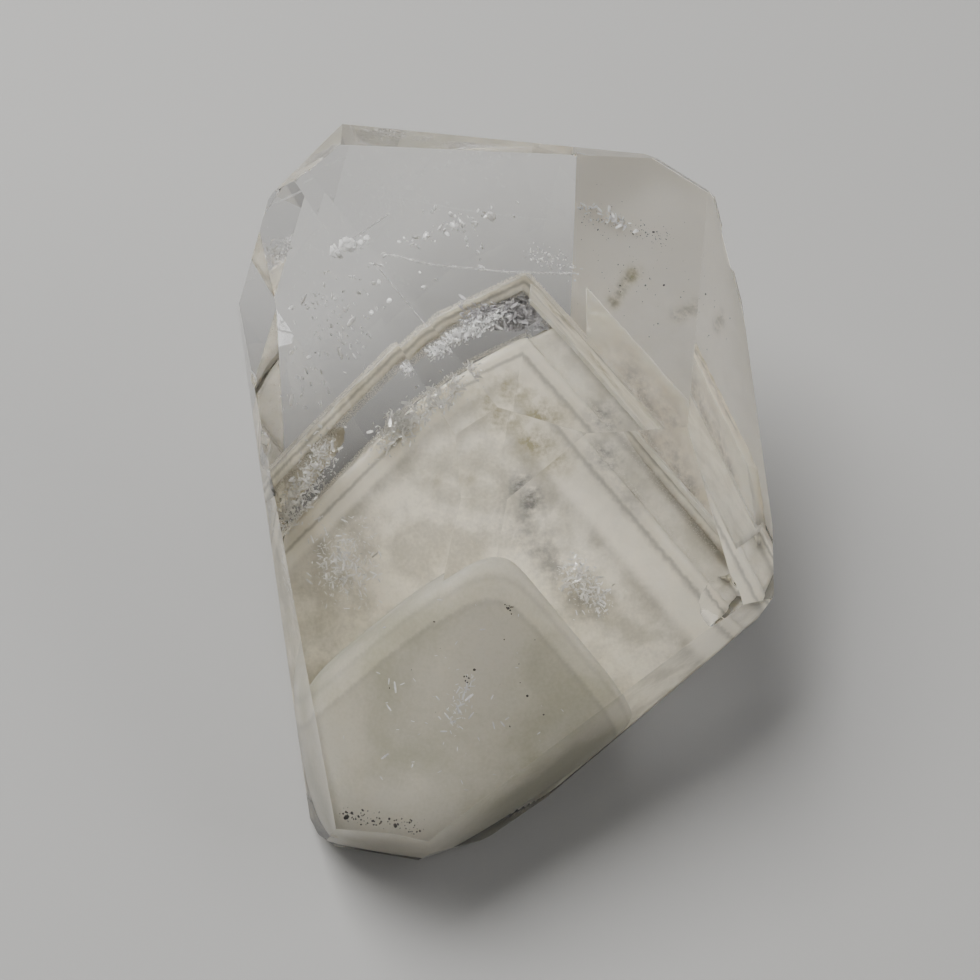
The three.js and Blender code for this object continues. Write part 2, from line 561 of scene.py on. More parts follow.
# %% Dust along a roof
DUST_CLEAR = 0.15
DUST_RISE = 0.2
SPECK_SIZE = 0.06
SPECK_VARIES = 0.3
dust_rng = np.random.default_rng(11)


def veil_points(heights, ends, count, ply, tallest):
    """Points under a roof: a place along its faces, ply mm inwards and up to tallest off the back."""
    knots = roof_knots(heights, *ends)
    step = np.diff(knots, axis=0)
    share = np.hypot(*step.T)
    face = dust_rng.choice(3, size=count, p=share / share.sum())
    along = dust_rng.random(count)[:, None]
    depth = ply(count)
    flat = knots[:-1][face] + step[face] * along - FACE_NORMALS[face] * depth[:, None]
    nearest = below_roof(flat[:, 0], flat[:, 1], heights)[1]
    flat = flat[nearest == face]
    points = lifted(flat, DUST_RISE + tallest * dust_rng.random(len(flat)), LEAN, lifts=1)
    return points[depth_inside(points) > DUST_CLEAR]


def dusting(name, heights, ends, count, ply, tallest):
    """A mesh of dust along a roof; the sizes are spread lognormally about SPECK_SIZE."""
    points = veil_points(heights, ends, count, ply, tallest)
    sizes = dust_rng.lognormal(math.log(SPECK_SIZE), SPECK_VARIES, len(points))
    return speck_mesh(name, points, sizes, random_turns(len(points), dust_rng), veil_dust)


print("a speck of dust is", SPECK_SIZE, "mm wide")

# %% [markdown]
# ## Milk
# Where the dust is so thick that no light comes through, specks would be wasted. A milky
# mass is one closed skin instead: from its middle, each direction runs out to the nearest of
# its roof faces, its front and the stone's own walls, and a soft minimum rounds the corners.

# %% Soft noise and soft minimum
LATTICE = 64
LATTICE_SHIFT = 1000


def soft_noise(points, size, seed):
    """Smooth values from -1 to 1: random numbers on a lattice of the given size, blended between."""
    lattice = np.random.default_rng(seed).uniform(-1, 1, size=(LATTICE, LATTICE, LATTICE))
    place = np.asarray(points) / size + LATTICE_SHIFT
    cell = np.floor(place).astype(int)
    part = place - cell
    part = part * part * (3 - 2 * part)
    value = np.zeros(len(place))
    for corner in range(8):
        offset = np.array([corner & 1, corner >> 1 & 1, corner >> 2 & 1])
        weight = np.where(offset, part, 1 - part).prod(axis=1)
        index = (cell + offset) % LATTICE
        value += weight * lattice[index[:, 0], index[:, 1], index[:, 2]]
    return value


def soft_minimum(values, width):
    """Least value of each row - width x log(sum of exp((least - value) / width)): close to the
    least value, and lower where others come within width of it."""
    least = values.min(axis=1)
    return least - width * np.log(np.exp((least[:, None] - values) / width).sum(axis=1))


print("soft noise at the middle:", soft_noise([[0, 0, 0]], 1.0, 0).round(2))

# %% Closed meshes
def closed_grid(grid):
    """Triangles over a grid that closes round its columns and meets in one point at each pole."""
    rows, columns = grid.shape[:2]
    body = grid[1:-1].reshape(-1, 3)
    points = np.vstack([grid[:1, 0], body, grid[-1:, 0]])
    index = 1 + np.arange((rows - 2) * columns).reshape(rows - 2, columns)
    a, b = index[:-1], index[1:]
    quads = np.stack([a, np.roll(a, -1, 1), np.roll(b, -1, 1), b], -1).reshape(-1, 4)
    triangles = np.vstack([quads[:, [0, 1, 2]], quads[:, [0, 2, 3]]])
    top = np.column_stack([np.zeros(columns, int), np.roll(index[0], -1), index[0]])
    bottom = np.column_stack([np.full(columns, len(points) - 1), index[-1], np.roll(index[-1], -1)])
    return points, np.vstack([triangles, top, bottom])


def closed_piece(name, points, faces, material, smooth=True):
    """Turns all faces outwards if their volume, a sixth of the summed triple products, is
    negative; prints the volume and makes the piece."""
    a, b, c = (points[faces[:, i]] for i in range(3))
    volume = float(np.einsum("ij,ij->", a, np.cross(b, c)) / 6)
    if volume < 0:
        faces = faces[:, ::-1]
    print(name, "volume, mm3:", round(abs(volume), 1), "triangles:", len(faces))
    return mesh_piece(name, points, faces, material, smooth=smooth)


# %% A milky mass
NEVER_MET = 1e6
FACING = 1e-6


def ray_reach(directions, start, normals, offsets):
    """How far each ray from start goes before it meets each plane, as rays by planes."""
    closing = directions @ normals.T
    room = offsets - start @ normals.T
    return np.where(closing > FACING, room / np.maximum(closing, FACING), NEVER_MET)


def swollen(points, bumps, seed):
    """How far the bumps lift each point: broad noise and half as much fine noise, less 0.8."""
    return bumps * (soft_noise(points, 3.0, seed) + 0.5 * soft_noise(points, 1.1, seed + 1) - 0.8)


def milky_surface(middle, heights, front, inset, rounding, rows, columns, bumps=0.0, seed=0):
    """A closed grid about middle: radius = soft minimum of the reach to roof, front and walls."""
    polar = np.linspace(0, math.pi, rows)[:, None]
    turn = np.linspace(0, 2 * math.pi, columns, endpoint=False)[None, :]
    rays = np.stack([
        np.sin(polar) * np.cos(turn), np.cos(polar) * np.ones_like(turn), np.sin(polar) * np.sin(turn)], -1)
    rays = rays.reshape(-1, 3)
    roof = np.column_stack([FACE_NORMALS, -(FACE_NORMALS @ LEAN)])
    normals = np.vstack([roof, [0, 0, 1]])
    offsets = np.append(np.array(heights) / STEEPNESS, front)
    tops = ray_reach(rays, middle, normals, offsets)
    sides = ray_reach(rays, middle, plane_normals, plane_offsets - inset)
    radius = soft_minimum(np.hstack([tops, sides]), rounding)
    if bumps:
        radius = radius + swollen(middle + rays * radius[:, None], bumps, seed)
    radius = np.minimum(radius, sides.min(axis=1))
    return (middle + rays * radius[:, None]).reshape(rows, columns, 3)


def milky_body(name, material, middle, heights, **shape):
    """A milky mass under a roof, as a piece."""
    points, faces = closed_grid(milky_surface(np.array(middle), heights, **shape))
    return closed_piece(name, points, faces, material)


print("planes that a mass can meet:", len(plane_offsets) + 4)

# %% [markdown]
# ## Curtains
# Seen along its faces a dusty veil looks like a bright band, because the eye looks through
# several millimetres of dust. That band is a curtain: a flat loop carried along the roof,
# mitred at the kink and the tip, and pressed inside the stone where it meets a wall.

# %% Keep points inside
PRESSES = 12


def press_inside(points, clear):
    """Moves points that lie outside the stone, or nearer than clear to a face, straight back in."""
    points = points.copy()
    for _ in range(PRESSES):
        over = points @ plane_normals.T - (plane_offsets - clear)
        worst = over.argmax(axis=1)
        amount = np.maximum(over[np.arange(len(points)), worst], 0)
        points -= plane_normals[worst] * amount[:, None]
    return points


print("each point is pressed in", PRESSES, "times at most")

# %% A curtain under a roof
CURTAIN_CLEAR = 0.2
SQUARENESS = 1.42
STEP_APART = 1e-9


def squared_loop(count, ply, rise):
    """Depth and height of the points of a loop: a circle, stretched and clipped to a box."""
    turn = np.linspace(0, 2 * math.pi, count, endpoint=False)
    square = np.clip(SQUARENESS * np.column_stack([np.cos(turn), np.sin(turn)]), -1, 1)
    depth = (ply[0] + ply[1]) / 2 + square[:, 0] * (ply[1] - ply[0]) / 2
    height = (rise[0] + rise[1]) / 2 + square[:, 1] * (rise[1] - rise[0]) / 2
    return depth, height


def tapered(grid, along, taper):
    """Shrinks the loops near both ends: their size follows a quarter circle over that share."""
    size = np.clip(np.minimum(along, 1 - along) / taper, 0, 1)[:, None, None]
    middle = grid.mean(axis=1, keepdims=True)
    return middle + (grid - middle) * np.sqrt(size * (2 - size))


def rippled(points, ripple, seed):
    """Points moved by soft noise, a little further and more broadly in height."""
    return points + ripple * np.column_stack([
        soft_noise(points, 0.7, seed),
        soft_noise(points, 0.7, seed + 1),
        1.5 * soft_noise(points, 1.5, seed + 2),
    ])


def curtain(name, heights, ends, ply, rise, material,
            lean=LEAN, steps=420, loop=24, ripple=0.04, taper=0.0, seed=0):
    """Loop of points from ply[0] to ply[1] inwards and rise[0] to rise[1] off the back, along the roof."""
    depth, height = squared_loop(loop, ply, rise)
    paths = np.array([roof_knots(np.array(heights) - d * STEEPNESS, *ends) for d in depth])
    part = np.linalg.norm(np.diff(paths[0], axis=0), axis=1)
    stops = np.append(0, part.cumsum()) / part.sum() + np.arange(4) * STEP_APART
    along = np.linspace(0, 1, steps)
    across = np.array([np.interp(along, stops, path[:, 0]) for path in paths]).T
    up = np.array([np.interp(along, stops, path[:, 1]) for path in paths]).T
    flat = np.column_stack([across.ravel(), up.ravel()])
    grid = lifted(flat, np.tile(height, steps), lean).reshape(steps, loop, 3)
    if taper:
        grid = tapered(grid, along, taper)
    grid[0] = grid[0].mean(axis=0)
    grid[-1] = grid[-1].mean(axis=0)
    points, faces = closed_grid(grid)
    points = press_inside(rippled(points, ripple, seed), CURTAIN_CLEAR)
    return closed_piece(name, points, faces, material)


print("a curtain keeps", CURTAIN_CLEAR, "mm inside the stone")

# %% [markdown]
# ## Layers and stains
# A milky mass is opaque here, so what its inside looks like has to show on its skin. Every
# vertex stores how deep it lies under the roof and how strongly it is stained: rusty ochre, or
# the grey of clay. The numbers change smoothly, so a few streaks of round spots are enough,
# and noise in the material breaks them into blotches.

# %% Numbers on the vertices
STAIN_STRENGTH = 0.85


def set_values(piece, title, values):
    """Stores one number for each vertex, to be read by a material."""
    layer = piece.data.attributes.new(title, "FLOAT", "POINT")
    layer.data.foreach_set("value", np.asarray(values, dtype=np.float32))


def stone_points(piece):
    """The vertices of a piece in the stone's own millimetres."""
    flat = np.empty(len(piece.data.vertices) * 3, dtype=np.float32)
    piece.data.vertices.foreach_get("co", flat)
    return to_stone(flat.reshape(-1, 3))


def layer_depth(points, heights, soft):
    """Distance below a leaning roof: a soft minimum over its three faces, in mm."""
    flat = unleaned(points)
    return soft_minimum((heights - (flat[:, 1:] - flat[:, :1] * FACE_SLOPES)) / STEEPNESS, soft)


def spots(flat, places):
    """Sum of smooth round spots (flat across, flat up, radius, strength), from 0 to 1."""
    value = np.zeros(len(flat))
    for across, up, radius, strength in places:
        away = (flat[:, 0] - across) ** 2 + (flat[:, 1] - up) ** 2
        value += strength * np.exp(-away / radius ** 2)
    return np.clip(value, 0, 1)


def paint_layers(piece, heights, soft=0.05, stained=True):
    """Stores layer depth, ochre and shade on a milky piece, from its unleaned places."""
    points = stone_points(piece)
    flat = unleaned(points)
    set_values(piece, "layer_depth", layer_depth(points, np.array(heights), soft))
    set_values(piece, "ochre", spots(flat, OCHRE_SPOTS) * STAIN_STRENGTH * stained)
    set_values(piece, "shade", spots(flat, SHADE_SPOTS) * STAIN_STRENGTH * stained)


def paint_sheet(piece, axes, ochre, shade, title, tone):
    """Stores stains placed on two axes of a sheet and, under title, the tone that its bands read,
    which is one number or one for each vertex."""
    points = stone_points(piece)
    set_values(piece, title, np.full(len(points), tone))
    set_values(piece, "ochre", spots(points[:, axes], ochre))
    set_values(piece, "shade", spots(points[:, axes], shade))


print("stains on milky bodies are stored at", STAIN_STRENGTH, "of their strength")

# %% Streaks of stain
stain_rng = np.random.default_rng(81)


def streak(start, end, count, radius, strength):
    """Round spots along a line from start to end: each strays a little and varies in size, in mm."""
    part = (np.arange(count) + stain_rng.uniform(0.2, 0.8, count)) / count
    place = np.array(start) + part[:, None] * (np.array(end) - np.array(start))
    place = place + stain_rng.normal(0, 0.25 * radius, (count, 2))
    sizes = radius * stain_rng.uniform(0.75, 1.25, count)
    return np.column_stack([place, sizes, np.full(count, strength)])


def streaks(*rows):
    """The spots of several streaks, each row giving start, end, count, radius and strength."""
    return np.vstack([streak(*row) for row in rows])


OCHRE_SPOTS = streaks(
    ((-2.0, 7.5), (4.0, 3.5), 6, 1.4, 0.5),
    ((-3.5, 1.5), (-3.0, 1.0), 1, 1.2, 0.4))
SHADE_SPOTS = streaks(
    ((0.5, 2.0), (2.0, -0.5), 3, 1.5, 0.4),
    ((0.0, -1.5), (7.0, -8.5), 5, 1.6, 0.45),
    ((5.5, 6.5), (10.5, 0.0), 3, 1.6, 0.42),
    ((-14.0, -6.0), (-11.0, -7.0), 1, 2.5, 0.35))
print("spots of ochre:", len(OCHRE_SPOTS), "and of grey:", len(SHADE_SPOTS))

# %% [markdown]
# ## Banded and stained milk
# The growth pauses show as bands that are brighter or duller than the milk between them. One
# group turns the stored depth into a place on a colour ramp and wanders a little by noise, so
# that no band is ruler-straight. A second group lays broken stains over the result.

# %% Shader groups for layers and stains
WANDER_SIZE = 0.6
WANDER = 0.3
CALM_FADE = 0.9
BLOTCH_SIZE = 1.1
OCHRE_COLOUR = (0.43, 0.385, 0.25, 1)
SHADE_COLOUR = (0.27, 0.26, 0.24, 1)


def layering_group():
    """Place = depth + wander x (noise - 0.5), mapped from First to Last; above the depth Calm
    the milk keeps near its light colour and fades to its patches over CALM_FADE mm."""
    group, inside, outside = shader_group("layering", {
        "Milk": "Color", "Light": "Color", "Depth": "Float", "First": "Float", "Last": "Float",
        "Calm": "Float", "Calm Patches": "Float"}, {"Place": "Float", "Milk": "Color"})
    noise = noise_node(group, per_metre(WANDER_SIZE), detail=3)
    moved = math_node(group, "MULTIPLY_ADD", noise, WANDER, inside["Depth"])
    depth = math_node(group, "SUBTRACT", moved, WANDER / 2)
    limits = {"From Min": inside["First"], "From Max": inside["Last"]}
    feed(group, outside["Place"], range_node(group, depth, limits))
    fades = {"From Min": inside["Calm"], "From Max": math_node(group, "ADD", inside["Calm"], CALM_FADE),
             "To Min": inside["Calm Patches"]}
    patchy = range_node(group, inside["Depth"], fades, smooth=True)
    feed(group, outside["Milk"], mix_colours(group, patchy, inside["Light"], inside["Milk"]))
    return group


def staining_group():
    """Two stains in turn: each mixes its colour in by its strength x blotchy noise."""
    group, inside, outside = shader_group("staining", {
        "Milk": "Color", "Ochre": "Float", "Shade": "Float", "Ochre Colour": "Color",
        "Shade Colour": "Color"}, {"Colour": "Color"})
    blotches = noise_node(group, per_metre(BLOTCH_SIZE), detail=6, roughness=0.65)
    broken = range_node(group, blotches, {"From Min": 0.38, "From Max": 0.62, "To Min": 0.15, "To Max": 1.35})
    colour = inside["Milk"]
    for title in ("Ochre", "Shade"):
        amount = math_node(group, "MULTIPLY", inside[title], broken, clamp=True)
        colour = mix_colours(group, amount, colour, inside[title + " Colour"])
    feed(group, outside["Colour"], colour)
    return group


layering = layering_group()
staining = staining_group()
print("nodes for layers:", len(layering.nodes), "and for stains:", len(staining.nodes))

# %% Banded milk
MILK_GRAIN_SIZE = 0.3
MILK_GRAIN = 0.7
CALM_PATCHES = 0.25


def brightness_ramp(tree, place, bands):
    """Eased brightness between bands, each (depth in mm, brightness), spread from 0 to 1."""
    first, last = bands[0][0], bands[-1][0]
    ramp = tree.nodes.new("ShaderNodeValToRGB")
    ramp.color_ramp.interpolation = "EASE"
    stops = ramp.color_ramp.elements
    while len(stops) < len(bands):
        stops.new(0.5)
    for stop, (at, bright) in zip(stops, bands):
        stop.position = (at - first) / (last - first)
        stop.color = (bright, bright, bright, 1)
    feed(tree, ramp.inputs["Fac"], place)
    return ramp.outputs["Color"]


def banded_milk(name, light, deep, bands, patch, glow, depth_title="layer_depth", calm=0.0):
    """Milk = clouded dust x the brightness of its band, then stained; patches start below calm."""
    material = dust_material(name, light, deep, patch, MILK_GRAIN_SIZE, MILK_GRAIN, glow)
    tree = material.node_tree
    base = tree.nodes["Principled BSDF"].inputs["Base Color"]
    layers = group_node(tree, layering, {
        "Milk": base.links[0].from_socket, "Light": light, "Depth": stored_value(tree, depth_title),
        "First": bands[0][0], "Last": bands[-1][0],
        "Calm": calm, "Calm Patches": CALM_PATCHES if calm else 1.0})
    bright = brightness_ramp(tree, layers["Place"], bands)
    stained = group_node(tree, staining, {
        "Milk": mix_colours(tree, 1.0, layers["Milk"], bright, blend="MULTIPLY"),
        "Ochre": stored_value(tree, "ochre"), "Shade": stored_value(tree, "shade"),
        "Ochre Colour": OCHRE_COLOUR, "Shade Colour": SHADE_COLOUR})
    feed(tree, base, stained["Colour"])
    return material


print("the milk's grain is", MILK_GRAIN_SIZE, "mm wide")

# %% [markdown]
# ## The outer phantom's veil
# The youngest phantom is a thin veil of dust under its roof, seen nearly edge on: two bright
# lines among duller ones. It is a curtain, because it is far longer and taller than thick.

# %% The outer veil
OUTER_ROOF = (19.86, 16.95, 18.90)
OUTER_ENDS = (-21.0, 19.0)
OUTER_BANDS = (
    (-3.4, 0.84), (-1.2, 0.95), (-0.35, 0.62), (0.05, 0.74), (0.35, 1.0), (0.62, 0.60), (0.9, 0.98),
    (1.5, 0.64), (2.2, 0.86), (3.4, 0.94), (5.0, 1.0))

outer_milk = banded_milk(
    "outer_milk", light=(0.93, 0.88, 0.76, 1), deep=(0.76, 0.715, 0.60, 1), bands=OUTER_BANDS,
    patch=2.6, glow=0.7)
outer_veil = curtain(
    "outer_veil", OUTER_ROOF, OUTER_ENDS, ply=(0.08, 1.3), rise=(0.3, 5.0), material=outer_milk, seed=21)
paint_layers(outer_veil, OUTER_ROOF)

# %% [markdown]
# ## The right face of the outer phantom
# On the right the veil turns towards the front and becomes a tall thin haze with its own
# stains. Only one roof face is wanted, so the heights of the other two are set out of reach.
#
# The real haze lets light through, but this sheet is an opaque skin. It would throw a shadow
# and block soft light from the milk behind it, so it is left out of shadow and diffuse rays.

# %% The right face
OUT_OF_REACH = (100, 80)
RIGHT_FACE_HEIGHT = 18.05
RIGHT_LEAN = np.array([0.03, -0.085])
FACE_TONE = 3.2
ACROSS_AND_HEIGHT = [0, 2]
ACROSS_AND_UP = [0, 1]

FACE_OCHRE = streaks(
    ((3.5, -0.5), (5.5, -4.5), 4, 0.7, 0.8),
    ((6.5, -1.0), (8.0, 2.5), 3, 0.9, 0.7))
FACE_SHADE = streaks(
    ((2.5, 2.0), (4.5, 1.0), 3, 0.5, 0.7),
    ((4.0, -1.5), (6.0, -7.0), 3, 0.6, 0.7))
SIDE_OCHRE = streaks(((7.5, -5.0), (14.0, -4.5), 4, 1.2, 0.3))
SIDE_SHADE = streaks(((9.5, -3.5), (16.0, -2.5), 5, 1.2, 0.3))


def let_light_by(piece):
    """Keeps a thin opaque sheet out of shadow and diffuse rays."""
    piece.visible_shadow = False
    piece.visible_diffuse = False


right_face = curtain(
    "outer_right_face", (*OUT_OF_REACH, RIGHT_FACE_HEIGHT), (1.5, 19.0), ply=(0.0, 0.35), rise=(0.5, 14.5),
    material=outer_milk, lean=RIGHT_LEAN, steps=300, loop=128, seed=25)
let_light_by(right_face)
paint_sheet(right_face, ACROSS_AND_HEIGHT, FACE_OCHRE, FACE_SHADE, "layer_depth", FACE_TONE)

# %% [markdown]
# ## Milk around the outer phantom
# Three milky bodies go with the veil. A limb lies deep in the stone: it stays under the middle
# phantom on the left and fills the right side up to the veil. A pale sheet just outside the
# roof's right end leads over to the pale sheet on the right back face. A low ridge lies under
# the veil on the left, tapered because the dust thins out there.

# %% The limb, the side and the left foot
LIMB_ROOF = (12.9, 11.1, 18.7)
PALE_SHEET_BANDS = ((-0.5, 0.94), (0.0, 0.94), (0.8, 0.95), (1.6, 1.0), (3.0, 1.0))
SIDE_TONE = 1.6

limb_milk = milky_body(
    "limb_milk", outer_milk, (3.0, -4.0, -9.5), LIMB_ROOF, front=-3.5, inset=0.45, rounding=0.2,
    rows=200, columns=400, bumps=0.1, seed=61)
paint_layers(limb_milk, OUTER_ROOF)
# an even pale tone for the sheet on the right back face, also given to the side sheet so the two meet softly
pale_sheet_milk = banded_milk(
    "pale_sheet_milk", light=(0.99, 0.915, 0.785, 1), deep=(0.94, 0.865, 0.735, 1), bands=PALE_SHEET_BANDS,
    patch=3.4, glow=0.7, depth_title="haze", calm=0.8)
side_milk = curtain(
    "side_milk", OUTER_ROOF, (6.4, 19.0), ply=(-3.2, 0.1), rise=(0.3, 4.6), material=pale_sheet_milk,
    steps=300, loop=128, ripple=0.1, seed=65)
let_light_by(side_milk)
paint_sheet(side_milk, ACROSS_AND_HEIGHT, SIDE_OCHRE, SIDE_SHADE, "haze", SIDE_TONE)
left_milk = curtain(
    "left_milk", OUTER_ROOF, (-20.5, -10.5), ply=(1.2, 3.6), rise=(0.3, 2.2), material=outer_milk,
    ripple=0.22, taper=0.4, seed=69)
paint_layers(left_milk, OUTER_ROOF)

# %% [markdown]
# ## Dust on the outer phantom
# The real veil is not sealed by a skin: single specks lie just outside it and just inside it.
# They could be a texture, but then they would lie in one surface, so they are solid specks,
# scattered at random through two thin layers that follow the same roof.

# %% Dust on the outer phantom
def outer_ply(count):
    """Half of the dust is a skin up to 0.3 mm outside the roof, the rest lies 1.3 to 2 mm inside."""
    skin = dust_rng.random(count) < 0.5
    return np.where(skin, dust_rng.random(count) ** 2 * -0.3, 1.3 + dust_rng.random(count) ** 1.6 * 0.7)


dusting("outer_dust", OUTER_ROOF, OUTER_ENDS, 46000, outer_ply, tallest=5.6)

# %% [markdown]
# ## A pale sheet on the right back face
# Behind the head's right side a thin, even, pale sheet lies just inside one back face and
# hides what is behind it; it is plainest towards its top. A plane needs no roof: each row of
# the sheet simply runs between the planes that bound its face, and stops at the outer phantom.
# It is carried round as a loop, so it is closed.

# %% A sheet on one face
SHEET_CLEAR = 0.15
SHEET_THICK = 0.1
NARROWEST_ROW = 0.1
ROWS_TRIED = (-32, 32, 1281)


def row_bounds(up, face, foot):
    """Least and most across of the rows of a face plane at each up: every other plane, kept
    SHEET_CLEAR inside, and the foot line up = foot - slope x across limit them."""
    normal = plane_normals[face]
    offset = plane_offsets[face] - SHEET_CLEAR
    others = np.arange(len(plane_offsets)) != face
    n = plane_normals[others]
    slant = np.append(n[:, 0] - n[:, 2] * normal[0] / normal[2], FACE_SLOPES[2])
    room = (plane_offsets[others] - SHEET_CLEAR - up[:, None] * n[:, 1]
            - n[:, 2] * (offset - up[:, None] * normal[1]) / normal[2])
    limit = np.column_stack([room, up - foot]) / slant
    left = np.where(slant < 0, limit, -np.inf).max(axis=1)
    right = np.where(slant > 0, limit, np.inf).min(axis=1)
    return left, right


def face_sheet(name, facing_to, foot, material, rows=150, columns=110):
    """Points of one face plane in rows of equal y, each from bound to bound, there and back."""
    face = int(np.argmax(plane_normals @ facing_to))
    normal = plane_normals[face]
    offset = plane_offsets[face] - SHEET_CLEAR
    tall = np.linspace(*ROWS_TRIED)
    left, right = row_bounds(tall, face, foot)
    wide = tall[right - left > NARROWEST_ROW]
    up = np.linspace(wide.min(), wide.max(), rows)
    left, right = row_bounds(up, face, foot)
    share = np.linspace(0, 1, columns)
    share = np.append(share, share[::-1])
    lift = np.repeat([SHEET_THICK, 0.0], columns)
    across = left[:, None] + share * (right - left)[:, None]
    up = np.repeat(up[:, None], 2 * columns, axis=1)
    depth = (offset - normal[0] * across - normal[1] * up) / normal[2]
    grid = np.stack([across, up, depth], -1) - normal * lift[None, :, None]
    grid[0] = grid[0].mean(axis=0)
    grid[-1] = grid[-1].mean(axis=0)
    points, faces = closed_grid(grid)
    return closed_piece(name, points, faces, material, smooth=False)


print("a sheet is", SHEET_THICK, "mm thick")

# %% The frosting
PALE_SHEET_FACE = np.array([0.52, 0.34, -0.79])
PALE_SHEET_FOOT = 18.2
HAZE_TOP = 21.5
HAZE_FADE = 4

PALE_SHEET_OCHRE = streaks(
    ((11.0, 18.5), (8.5, 14.5), 5, 0.5, 0.7),
    ((16.0, 15.0), (14.0, 13.5), 3, 0.5, 0.4))
PALE_SHEET_SHADE = streaks(
    ((10.0, 17.5), (8.5, 14.0), 4, 0.45, 0.5),
    ((16.5, 15.0), (14.0, 13.5), 3, 0.5, 0.45))
# an even pale sheet along the right back face, plainest towards its top
pale_back_sheet = face_sheet("pale_back_sheet", PALE_SHEET_FACE, PALE_SHEET_FOOT, pale_sheet_milk)
pale_sheet_haze = np.clip((HAZE_TOP - stone_points(pale_back_sheet)[:, 1]) / HAZE_FADE, 0, 2)
paint_sheet(pale_back_sheet, ACROSS_AND_UP, PALE_SHEET_OCHRE, PALE_SHEET_SHADE, "haze", pale_sheet_haze)

# %% [markdown]
# ## The middle phantom
# The middle phantom is a solid milky mass. On its right face the bands lie further apart than
# on the left, as they do where a face grows faster. A second set of bands could do that, but
# one set is easier to keep alike: the band depth is the distance under the roof, and on the
# right face that distance is squeezed through a table of a few steps.

# %% The middle phantom
MIDDLE_ROOF = (13.1, 11.3, 13.15)
MIDDLE_ENDS = (-19.5, 19.0)
RIGHT_FACE = 2
RIGHT_WIDENS = ((0.0, 0.0), (1.5, 1.35), (2.1, 1.6), (4.2, 2.3), (5.0, 2.9), (7.0, 4.5), (30.0, 27.5))
MIDDLE_BANDS = (
    (-0.3, 0.78), (0.1, 0.84), (0.5, 0.94), (1.0, 0.90), (1.28, 0.60), (1.6, 0.94), (2.2, 0.96),
    (2.9, 0.80), (4.5, 0.95), (9.0, 1.0))


def widened_depth(points):
    """Distance under the middle roof; on its right face it is read through RIGHT_WIDENS."""
    flat = unleaned(points)
    depth, face = below_roof(flat[:, 0], flat[:, 1], np.array(MIDDLE_ROOF))
    widened = np.interp(depth, *np.array(RIGHT_WIDENS).T)
    return np.where(face == RIGHT_FACE, widened, depth)


middle_milk = banded_milk(
    "middle_milk", light=(0.93, 0.875, 0.745, 1), deep=(0.64, 0.60, 0.495, 1), bands=MIDDLE_BANDS,
    patch=3.2, glow=0.7, depth_title="band_depth", calm=2.2)
middle_body = milky_body(
    "middle_milk", middle_milk, (-3.0, -5.0, -9.5), MIDDLE_ROOF, front=-3.0, inset=0.4, rounding=0.25,
    rows=220, columns=420, bumps=0.12, seed=5)
paint_layers(middle_body, MIDDLE_ROOF)
set_values(middle_body, "band_depth", widened_depth(stone_points(middle_body)))

# %% [markdown]
# ## Dust on the middle phantom
# The middle phantom's edge is crisp but not smooth, because it ends in dust as well. Bumps in
# the milk alone would look soft and swollen, so a thin layer of the same specks covers it.

# %% Dust on the middle phantom
def middle_ply(count):
    """A thin skin of dust on the outside of the milk, up to 0.35 mm thick."""
    return dust_rng.random(count) ** 2 * -0.35


dusting("middle_dust", MIDDLE_ROOF, MIDDLE_ENDS, 20000, middle_ply, tallest=7.6)

# %% [markdown]
# ## The core
# The core is the crystal's first growth: cloudy and a little darker, with a rounded tip. It
# rises higher than the phantoms, and over most of it lie only one to three millimetres of
# clear quartz. Its roof is the same again, and a wide soft minimum rounds it, which is simpler
# than modelling a tip by hand. It carries no stains.

# %% The core
CORE_ROOF = (-1.4, -4.9, -6.2)
CORE_ROUNDING = 1.6
CORE_BANDS = (
    (-0.6, 1.0), (0.5, 1.12), (0.9, 1.0), (1.3, 1.1), (2.1, 1.12), (2.5, 0.93), (2.9, 1.0), (6.0, 1.0))

core_milk = banded_milk(
    "core_milk", light=(0.76, 0.72, 0.615, 1), deep=(0.60, 0.575, 0.455, 1), bands=CORE_BANDS,
    patch=8.0, glow=3.0)
milky_core = milky_body(
    "milky_core", core_milk, (-6.0, -20.0, -1.0), CORE_ROOF, front=14.0, inset=0.3, rounding=CORE_ROUNDING,
    rows=220, columns=420)
paint_layers(milky_core, CORE_ROOF, soft=CORE_ROUNDING, stained=False)

# %% [markdown]
# ## Flecks and films
# The clear part is not empty. Drops of old brine and thin films glint in it, scattered along
# lines and in clouds. They could be modelled one by one, but there are thousands. A drop is
# a small rounded solid of twenty faces, squashed and turned, and a film is the same solid
# squashed almost flat, so one helper makes them all.

# %% Scatter
CLOUD_EDGE = 1.1
fleck_rng = np.random.default_rng(71)


def along_line(start, end, count, spread):
    """Points = start x (1 - part) + end x part, with part at random from 0 to 1, plus a normal
    scatter whose width is spread, in mm."""
    part = fleck_rng.random(count)[:, None]
    return np.array(start) * (1 - part) + np.array(end) * part + fleck_rng.normal(0, spread, (count, 3))


def in_cloud(centre, half, count):
    """Points = centre + half size x a normal scatter of width 0.5, cut off at CLOUD_EDGE."""
    reach = np.clip(fleck_rng.normal(0, 0.5, (count, 3)), -CLOUD_EDGE, CLOUD_EDGE)
    return np.array(centre) + reach * np.array(half)


def facing(count, normal, wobble):
    """Turns whose third axis points along normal, give or take wobble, and spin freely about it."""
    third = np.array(normal) + fleck_rng.normal(0, wobble, (count, 3))
    third /= np.linalg.norm(third, axis=1, keepdims=True)
    side = np.cross(third, fleck_rng.normal(size=(count, 3)))
    side /= np.linalg.norm(side, axis=1, keepdims=True)
    return np.stack([side, np.cross(third, side), third], axis=2)


print("a cloud reaches", CLOUD_EDGE, "times its half size at most")

# %% Drops and films
FLECK_CLEAR = 0.35
LARGEST_FLAKE = 4.0
EDGE_UNDER = 1.1


